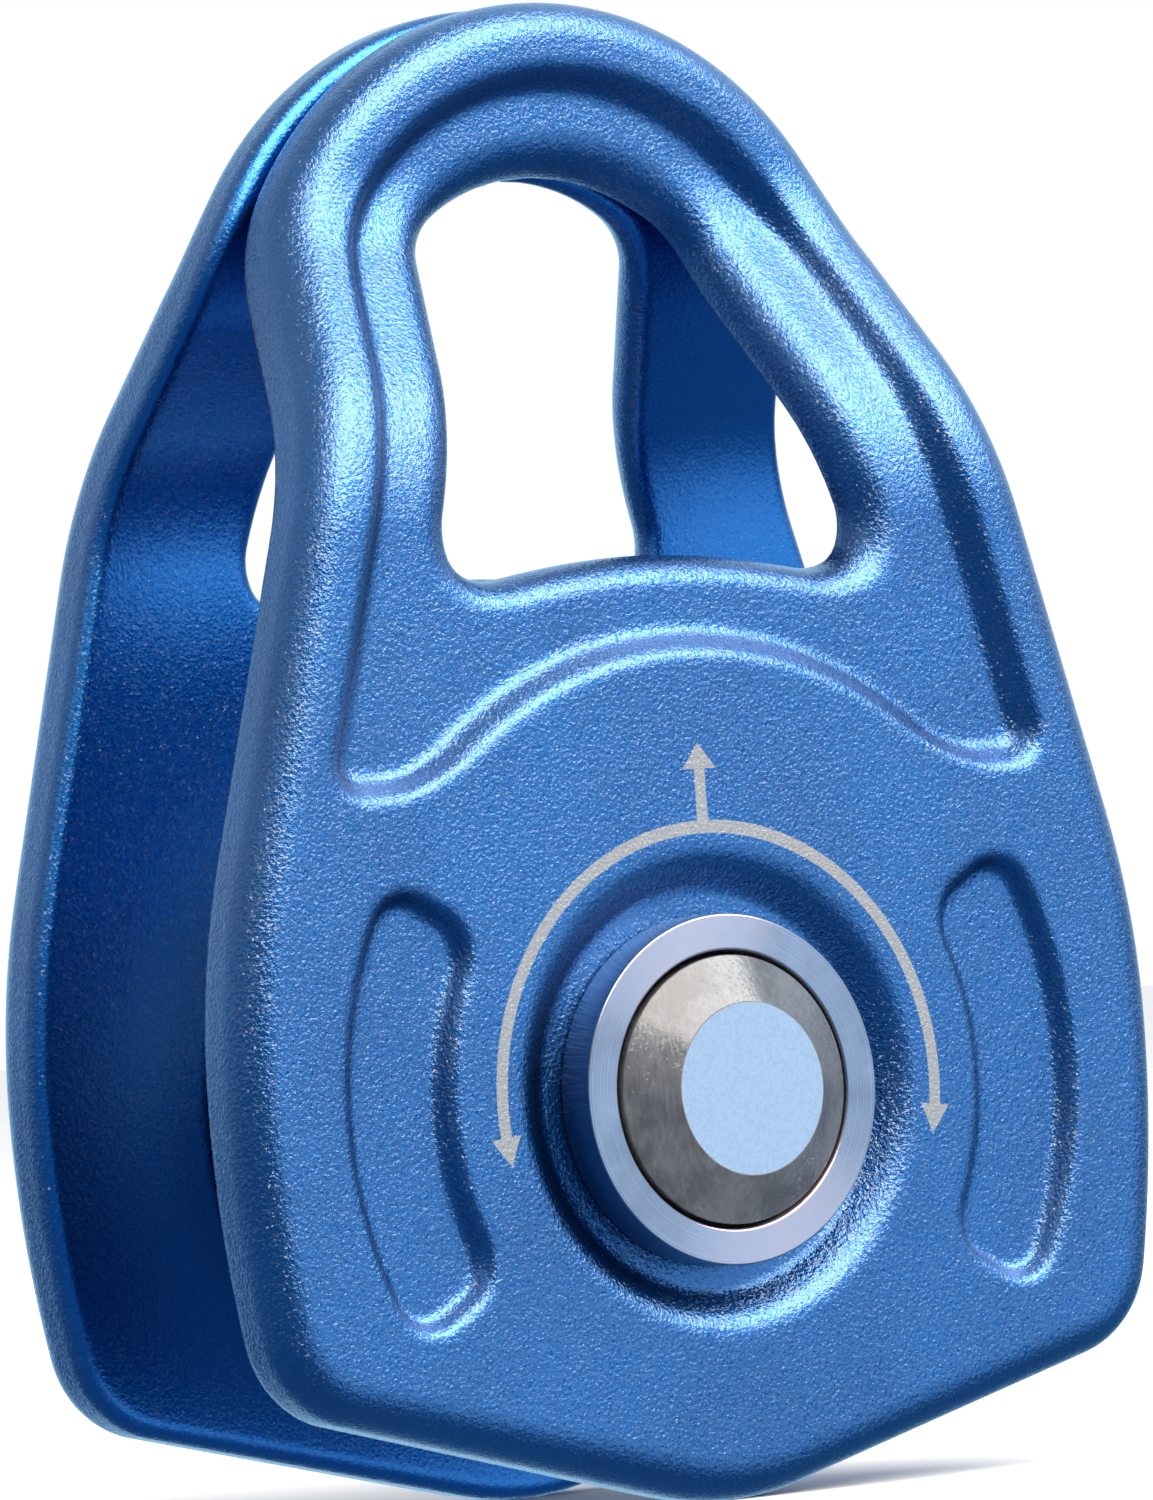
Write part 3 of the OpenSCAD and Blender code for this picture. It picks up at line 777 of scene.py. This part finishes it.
def add_softbox(name, azimuth, elevation, width, height, radiance, colour=(1, 1, 1)):
    """A soft rectangular light facing the axle. Its width and height are the angles it spans from there."""
    data = bpy.data.lights.new(name, "AREA")
    data.shape = "RECTANGLE"
    data.size = 2 * SOFTBOX_DISTANCE * math.tan(math.radians(width / 2))
    data.size_y = 2 * SOFTBOX_DISTANCE * math.tan(math.radians(height / 2))
    data.energy = radiance * math.pi * data.size * data.size_y
    data.color = colour
    light = bpy.data.objects.new(name, data)
    towards = direction(azimuth, elevation)
    light.location = towards * SOFTBOX_DISTANCE
    light.rotation_euler = towards.to_track_quat("Z", "Y").to_euler()
    light.visible_camera = False
    bpy.context.collection.objects.link(light)


def add_world():
    """White to the camera and on matt surfaces. Reflections are dim below, brighter above and right."""
    world = bpy.data.worlds.new("studio")
    world.use_nodes = True
    bpy.context.scene.world = world
    tree = world.node_tree
    tree.nodes.clear()

    def add(kind, inputs, **settings):
        node = tree.nodes.new(kind)
        for key, value in settings.items():
            setattr(node, key, value)
        for key, value in inputs.items():
            if isinstance(value, bpy.types.NodeSocket):
                tree.links.new(value, node.inputs[key])
            else:
                node.inputs[key].default_value = value
        return node

    def step(value, low, high):
        inputs = {"Value": value, "From Min": low, "From Max": high}
        return add("ShaderNodeMapRange", inputs, interpolation_type="SMOOTHSTEP").outputs["Result"]

    def mix(amount, a, b):
        return add("ShaderNodeMix", {0: amount, 6: a, 7: b}, data_type="RGBA").outputs[2]

    def both(a, b):
        return add("ShaderNodeMath", {0: a, 1: b}, operation="MULTIPLY").outputs[0]

    def glow(azimuth, reach):
        """1 at an azimuth level with the pulley, and 0 from where the cosine of the angle to it is reach."""
        near = add("ShaderNodeVectorMath", {0: to_sky, 1: direction(azimuth, 0)}, operation="DOT_PRODUCT")
        return step(near.outputs["Value"], reach, 1.0)

    to_sky = add("ShaderNodeTexCoord", {}).outputs["Generated"]
    x, y, z = add("ShaderNodeSeparateXYZ", {0: to_sky}).outputs
    sky = mix(step(z, -0.02, 0.40), (0.05, 0.18, 0.36, 1), (0.38, 0.48, 0.56, 1))
    sky = mix(both(step(y, -0.2, 0.6), step(z, -0.25, 0.2)), sky, (0.36, 0.50, 0.66, 1))
    sky = mix(both(step(x, -0.05, 0.55), step(z, -0.16, 0.32)), sky, (0.60, 0.86, 1.14, 1))
    sky = mix(glow(160, 0.70), sky, (0.50, 0.86, 1.16, 1))
    sky = mix(glow(30, 0.78), sky, (0.57, 0.98, 1.34, 1))
    glossy = add("ShaderNodeLightPath", {}).outputs["Is Glossy Ray"]
    back = add("ShaderNodeBackground", {"Color": mix(glossy, (1, 1, 1, 1), sky)})
    add("ShaderNodeOutputWorld", {"Surface": back.outputs[0]})


def add_studio():
    add_floor()
    add_world()
    add_softbox("main_softbox", azimuth=19, elevation=46, width=66, height=44, radiance=5.6,
                colour=(1.0, 0.94, 0.88))
    add_softbox("left_strip", azimuth=-55, elevation=36, width=14, height=24, radiance=1.25)
    bpy.context.scene.view_settings.view_transform = "Standard"


# ---------------------------------------------------------------- build

add_camera()

# The collars' sides take a dark blue past the rim: painted reflection of the cheek and painted shade.
turned_alloy = turned_finish("turned_alloy", (0.48, 0.40, 0.44), (0.60, 0.49, 0.54), 0.22, 0.12, 0.003, 1.0,
                             rim=(COLLAR_R - RIM_BLEND, (0.11, 0.19, 0.30)))
axle_steel = axle_finish("axle_steel")
sheave_alloy = turned_finish("sheave_alloy", (0.56, 0.57, 0.60), (0.70, 0.71, 0.74), 0.30, 0.25, 0.010, 0.4)
bearing_steel = plain_finish("bearing_steel", (0.62, 0.62, 0.64), (0.74, 0.74, 0.76), 0.12, 1.0, 0.2, 0.001)
bronze = turned_finish("washer_bronze", (0.52, 0.33, 0.14), (0.66, 0.45, 0.21), 0.35, 0.2, 0.006, 0.4)
brass = plain_finish("cage_brass", (0.60, 0.44, 0.18), (0.74, 0.56, 0.26), 0.30, 1.0, 0.25, 0.004)
spring_steel = plain_finish("spring_steel", (0.05, 0.05, 0.055), (0.09, 0.09, 0.10), 0.40, 0.8, 0.15, 0.006)
rubber = plain_finish("seal_rubber", (0.012, 0.012, 0.013), (0.022, 0.022, 0.024), 0.60, 0.0, 0.2, 0.010)

add_cheeks({"rear_cheek": cheek_finish("cheek_blue", 1, marked=False),
            "front_cheek": cheek_finish("cheek_blue_marked", -1, marked=True)})
add_collars(turned_alloy)
add_axle(axle_steel)
add_washers_and_spacers(bronze, turned_alloy)
add_sheave(sheave_alloy)
add_bearing(bearing_steel, rubber)
paint_node("bearing_circlip", spring_steel)
paint_node("ball_cage", brass)
for number in range(1, BALLS + 1):
    paint_node(f"ball_{number}", bearing_steel)
add_studio()
